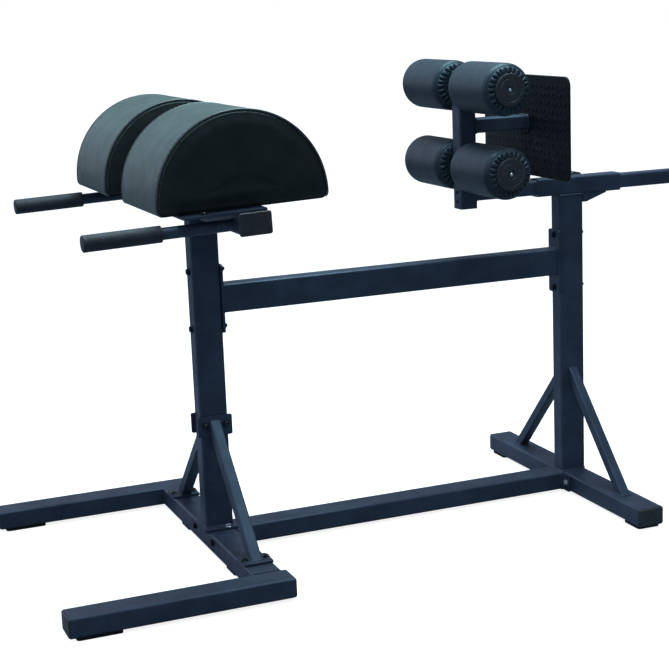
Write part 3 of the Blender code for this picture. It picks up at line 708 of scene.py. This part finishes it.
def makeDisc(level, side, sign, centreX, centreZ):
    # Turned disc: flat back, rounded rim, flat face with a shallow ring and a hollow in the middle
    shape = discShape
    low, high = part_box(f"roller_disc_{level}_{side}")
    back = low.y if sign > 0 else -high.y
    edge = 0.0016
    turn = np.linspace(0, math.pi / 2, 5)
    rim = [(back + shape["thickness"] - edge * (1 - math.sin(a)), shape["radius"] - edge * (1 - math.cos(a)))
           for a in turn]
    face = back + shape["thickness"]
    ring, depth = shape["ring"], shape["ringDepth"]
    profile = [(back, shape["radius"] - 0.001)] + rim + [
        (face, ring + 0.0022), (face - depth, ring + 0.0010), (face - depth, ring - 0.0010),
        (face, ring - 0.0022), (face, 0.0125), (face - 0.0012, 0.0112), (face - 0.0012, 0.004)]
    along, radius = np.array(profile).T
    grid = turnedGrid(along, radius, 96, (centreX, 0, centreZ), (0, 1, 0)) * np.array([1, sign, 1])
    disc = makePiece(f"rollerDisc_{level}_{side}", [gridShell(grid)], "mouldedPlastic",
                     f"roller_{level}_{side}_body", 30)
    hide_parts(f"roller_disc_{level}_{side}")


makeRollers()
print("rollers covered")


# ---- foot plate: steel with raised lozenges

treadShape = {"pitch": 0.022, "long": 0.0085, "short": 0.0030, "height": 0.0012, "step": 0.0024, "margin": 0.012}


def makeFootPlate():
    # Front and back are one closed sheet: each ring runs from the front's middle out to the edge
    # and in again at the back. Height of the tread: 1 - (u/long)^2 - (v/short)^2, clipped at 0,
    # with u and v turned 45 degrees left or right by turns.
    low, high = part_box("foot_plate")
    width, tall = high.y - low.y, high.z - low.z
    middle = np.array([(high.y + low.y) / 2, (high.z + low.z) / 2])
    shape = treadShape
    outline = evenPath(roundedRectangle(width, tall, 0.024, 12), 560)
    rings = np.concatenate([np.linspace(0.01, 0.985, 84), [0.992, 1.0]])
    flat = outline[None] * rings[:, None, None]
    inset = np.array([0.0] * 84 + [0.0, 0.0011])
    cell = np.round(flat / shape["pitch"])
    local = flat - cell * shape["pitch"]
    turn = np.where((cell.sum(-1) % 2) == 0, 1, -1)
    u = (local[..., 0] + turn * local[..., 1]) / math.sqrt(2)
    v = (local[..., 1] - turn * local[..., 0]) / math.sqrt(2)
    lift = np.clip(1.6 * (1 - (u / shape["long"]) ** 2 - (v / shape["short"]) ** 2), 0, 1) * shape["height"]
    border = np.minimum(width / 2 - np.abs(flat[..., 0]), tall / 2 - np.abs(flat[..., 1]))
    lift *= border > shape["margin"]
    front = np.stack([low.x + inset[:, None] - lift, middle[0] + flat[..., 0], middle[1] + flat[..., 1]], axis=-1)
    edge = outline * 1.0022
    rim = np.stack([np.stack([np.full(len(edge), x), middle[0] + edge[:, 0], middle[1] + edge[:, 1]], axis=-1)
                    for x in (low.x + 0.0018, high.x - 0.0012)])
    backRings = np.array([0.995, 0.6, 0.2])
    back = outline[None] * backRings[:, None, None]
    back = np.stack([np.full(back.shape[:2], high.x), middle[0] + back[..., 0], middle[1] + back[..., 1]], axis=-1)
    plate = makePiece("footPlateTread", [gridShell(np.concatenate([front, rim, back]))],
                      "powderCoatPebbled", "foot_carriage", 35)
    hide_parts("foot_plate")


makeFootPlate()
print("foot plate rolled")


# ---- handle grips

gripShape = {"wall": 0.0003, "ringPitch": 0.0075, "ringDepth": 0.0005, "ringWidth": 0.0016}


def makeGrips():
    # Turned sleeve: a rounded closed front end, shallow grooves at both ends, a square rear lip
    for side, sign in sides:
        low, high = levelBox(f"grip_{side}")
        radius = (high.z - low.z) / 2
        centre = (0, (low.y + high.y) / 2, (low.z + high.z) / 2)
        front, rear = low.x, high.x
        turn = np.linspace(0, math.pi / 2, 7)
        nose = np.stack([front + 0.004 * (1 - np.sin(turn)), radius - 0.004 * (1 - np.cos(turn))], axis=-1)[::-1]
        x = np.linspace(front + 0.0045, rear - 0.004, 260)
        grooves = [front + 0.012 + k * gripShape["ringPitch"] for k in range(3)]
        grooves += [rear - 0.012 - k * gripShape["ringPitch"] for k in range(3)]
        dip = sum(np.exp(-((x - g) / (gripShape["ringWidth"] / 2)) ** 2) for g in grooves)
        barrel = np.stack([x, radius - gripShape["ringDepth"] * dip], axis=-1)
        lip = np.array([(rear - 0.003, radius), (rear - 0.0008, radius), (rear, radius - 0.0008),
                        (rear, 0.0148), (rear - 0.006, 0.0148)])
        inside = np.array([(front + 0.0050, 0.0148)])
        profile = np.vstack([[(front, 0.006)], nose, barrel, lip, inside])
        grid = pitched(turnedGrid(profile[:, 0], profile[:, 1], 56, centre, (1, 0, 0)))
        grip = makePiece(f"handleGrip_{side}", [gridShell(grid)], "gripRubber", "frame", 35)
        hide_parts(f"grip_{side}")


makeGrips()
print("grips fitted")


# ---- bolts and nuts

boltShape = {
    "headRadius": 0.0075, "headHeight": 0.0055, "washerRadius": 0.0098, "washerHeight": 0.0016,
    "nutHeight": 0.0070, "studRadius": 0.0040, "studReach": 0.0035,
}


def hexLobes(columns):
    # Distance from the centre to a hexagon's side, for each angle: cos 30 / cos(angle off the side)
    angle = np.linspace(0, math.tau, columns, endpoint=False)
    off = (angle + math.pi / 6) % (math.pi / 3) - math.pi / 6
    return math.cos(math.pi / 6) / np.cos(off)


def boltShells(centre, axis, scale=1.0, nut=False):
    shape = {key: value * scale for key, value in boltShape.items()}
    washer = turnedGrid([-0.0002, shape["washerHeight"] * 0.7, shape["washerHeight"]],
                        [shape["washerRadius"], shape["washerRadius"], shape["washerRadius"] * 0.93],
                        36, centre, axis)
    base, tall = shape["washerHeight"] - 0.0001, shape["nutHeight"] if nut else shape["headHeight"]
    hexagon = turnedGrid([base, base + tall * 0.82, base + tall], [shape["headRadius"]] * 2
                         + [shape["headRadius"] * 0.86], 36, centre, axis, hexLobes(36))
    shells = [gridShell(washer), gridShell(hexagon)]
    if nut:
        top = base + tall
        stud = turnedGrid([top - 0.001, top + shape["studReach"] * 0.8, top + shape["studReach"]],
                          [shape["studRadius"], shape["studRadius"], shape["studRadius"] * 0.75], 20, centre, axis)
        shells.append(gridShell(stud))
    return shells


def domeShells(centre, axis, radius, height):
    # Domed head: height * cos and radius * sin of the same angle
    turn = np.linspace(0, math.pi / 2, 8)[1:]
    grid = turnedGrid(np.concatenate([height * np.cos(turn), [-0.0002]]), np.concatenate([radius * np.sin(turn), [radius]]),
                      32, centre, axis)
    return [gridShell(grid)]


def frameBolts():
    postLow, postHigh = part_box("front_post")
    crossLow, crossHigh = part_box("front_cross_tube")
    rearLow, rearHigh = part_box("rear_cross_tube")
    beamLow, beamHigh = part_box("top_beam")
    floorLow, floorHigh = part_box("floor_tube")
    plate = 0.006
    frontX = crossLow.x
    frontFlangeX = beamLow.x + plate
    rearFlangeX = beamHigh.x - plate
    rearX = rearHigh.x
    shells = []
    for z in (0.750, 0.599):
        shells += boltShells((frontX, 0, z), (-1, 0, 0), 1.1)
        shells += boltShells((frontFlangeX, 0, z), (1, 0, 0), 1.1, nut=True)
        shells += boltShells((rearFlangeX, 0, z), (-1, 0, 0), 1.1)
        shells += boltShells((rearX, 0, z), (1, 0, 0), 1.1, nut=True)
    for sign in (1, -1):
        shells += boltShells((frontX, sign * 0.078, 0.042), (-1, 0, 0), 1.15)
        shells += boltShells((frontFlangeX, sign * 0.078, 0.042), (1, 0, 0), 1.1, nut=True)
        shells += boltShells((rearX, sign * 0.055, 0.033), (1, 0, 0), 1.1, nut=True)
        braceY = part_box("front_brace_left")[0].y + plate
        for x in (-0.516, -0.458):
            shells += boltShells((x, sign * braceY, 0.343), (0, sign, 0))
        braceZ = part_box("front_brace_left")[0].z + plate
        for x in (-0.518, -0.460):
            shells += boltShells((x, sign * 0.310, braceZ), (0, 0, 1))
        plateLow = levelBox("pad_plate_left")[0]
        for y in (0.361, 0.171):
            shells += pitchedShells(boltShells((-0.607, sign * y, plateLow.z), (0, 0, -1), 0.9))
        shells += pitchedShells(boltShells((-0.605, sign * 0.419, plateLow.z + plate), (0, 0, 1), 0.9))
        flangeZ = levelBox("handle_carrier")[0].z - 0.0003 - plate
        shells += pitchedShells(boltShells((-0.489, sign * 0.044, flangeZ), (0, 0, -1), 1.0))
    makePiece("frameBolts", shells, "blackOxideSteel", "frame", 30)
    bright = []
    for sign in (1, -1):
        bright += boltShells((-0.470, sign * 0.036, postLow.z + plate), (0, 0, 1), 0.95)
        bright += boltShells((rearFlangeX, sign * 0.055, 0.033), (-1, 0, 0), 1.0)
    makePiece("frameBrightBolts", bright, "zincPlate", "frame", 30)


def carriageBolts():
    mastLow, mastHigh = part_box("roller_mast")
    shells = []
    for z in (0.896, 0.870):
        shells += domeShells((mastLow.x, 0, z), (-1, 0, 0), 0.0070, 0.0040)
    makePiece("carriageBolts", shells, "blackOxideSteel", "foot_carriage", 30)
    for level in ("upper", "lower"):
        axleLow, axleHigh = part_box(f"roller_axle_{level}")
        centreX, centreZ = (axleLow.x + axleHigh.x) / 2, (axleLow.z + axleHigh.z) / 2
        ends = []
        for side, sign in sides:
            discLow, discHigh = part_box(f"roller_disc_{level}_{side}")
            face = max(abs(discLow.y), abs(discHigh.y)) - 0.001
            ends += domeShells((centreX, sign * face, centreZ), (0, sign, 0), discShape["boltRadius"], 0.0030)
        makePiece(f"axleBolts_{level}", ends, "zincPlate", "foot_carriage", 30)


frameBolts()
carriageBolts()
print("bolts tightened")


# ---- weld beads

weldShape = {"radius": 0.0024, "ripple": 0.14, "ripplePitch": 0.0034, "step": 0.0010}


def weldBead(axis, along, middle, size, corner):
    # Bead round a tube where it meets a plate: the tube's outline, thickened by ripples,
    # radius * (1 + ripple * |sin(pi s / pitch)|)
    shape = weldShape
    outline = roundedRectangle(size[0], size[1], corner) if corner else None
    count = int((2 * (size[0] + size[1])) / shape["step"])
    flat = evenPath(outline, count)
    order = {"X": (2, 0, 1), "Y": (0, 2, 1), "Z": (0, 1, 2)}[axis]
    full = np.stack([flat[:, 0] + middle[0], flat[:, 1] + middle[1], np.full(count, along)], axis=-1)
    path = full[:, order]
    length = np.arange(count) * shape["step"]
    radius = shape["radius"] * (1 + shape["ripple"] * np.abs(np.sin(math.pi * length / shape["ripplePitch"])))
    normal = {"X": (1, 0, 0), "Y": (0, 1, 0), "Z": (0, 0, 1)}[axis]
    return sweptShell(path, radius, normal, 8)


def makeWelds():
    postLow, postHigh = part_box("front_post")
    rearPostLow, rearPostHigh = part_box("rear_post")
    beamLow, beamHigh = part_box("top_beam")
    floorLow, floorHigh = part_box("floor_tube")
    carrierLow, carrierHigh = levelBox("handle_carrier")
    frontX, rearX = (carrierLow.x + carrierHigh.x) / 2, (rearPostLow.x + rearPostHigh.x) / 2
    plate = 0.006
    tube = (0.076, 0.050)
    shells = pitchedShells([weldBead("Z", carrierLow.z - 0.0003 - plate, (frontX, 0), tube, 0.006)])
    shells += [
        weldBead("Z", postLow.z + plate, (frontX, 0), tube, 0.006),
        weldBead("Z", rearPostLow.z, (rearX, 0), tube, 0.006),
        weldBead("Z", rearPostHigh.z, (rearX, 0), (0.076, 0.050), 0.006),
    ]
    beamZ = (beamLow.z + beamHigh.z) / 2
    floorZ = (floorLow.z + floorHigh.z) / 2
    for x in (beamLow.x + plate, beamHigh.x - plate):
        shells.append(weldBead("X", x, (0, beamZ), (0.050, 0.076), 0.006))
        shells.append(weldBead("X", x, (0, floorZ), (0.076, 0.050), 0.006))
    gripLow, gripHigh = levelBox("grip_left")
    handleZ = (gripLow.z + gripHigh.z) / 2
    handleY = (gripLow.y + gripHigh.y) / 2
    for side, sign in sides:
        shells += pitchedShells([weldBead("X", carrierLow.x, (sign * handleY, handleZ),
                                          (0.029, 0.029), 0.0144)])
        low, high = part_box(f"rear_brace_{side}")
        outer = max(abs(low.y), abs(high.y))
        shells.append(weldBead("Z", low.z, (rearX, sign * (outer - 0.0195)), (0.028, 0.039), 0.004))
        low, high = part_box(f"front_brace_{side}")
        shells.append(weldBead("Z", low.z + plate, (frontX, sign * 0.3045), (0.030, 0.043), 0.004))
    makePiece("frameWelds", shells, "powderCoatSatin", "frame", 60)
    slideLow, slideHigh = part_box("slide_tube")
    armLow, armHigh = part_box("plate_arm")
    armZ = (armLow.z + armHigh.z) / 2
    slideZ = (slideLow.z + slideHigh.z) / 2
    shells = [
        weldBead("X", slideLow.x, (0, slideZ), (0.040, 0.040), 0.006),
        weldBead("X", armLow.x, (0, armZ), (0.050, 0.040), 0.006),
        weldBead("X", armHigh.x - 0.0022, (0, armZ), (0.050, 0.040), 0.006),
    ]
    makePiece("carriageWelds", shells, "powderCoatSatin", "foot_carriage", 60)


makeWelds()
print("welds laid")
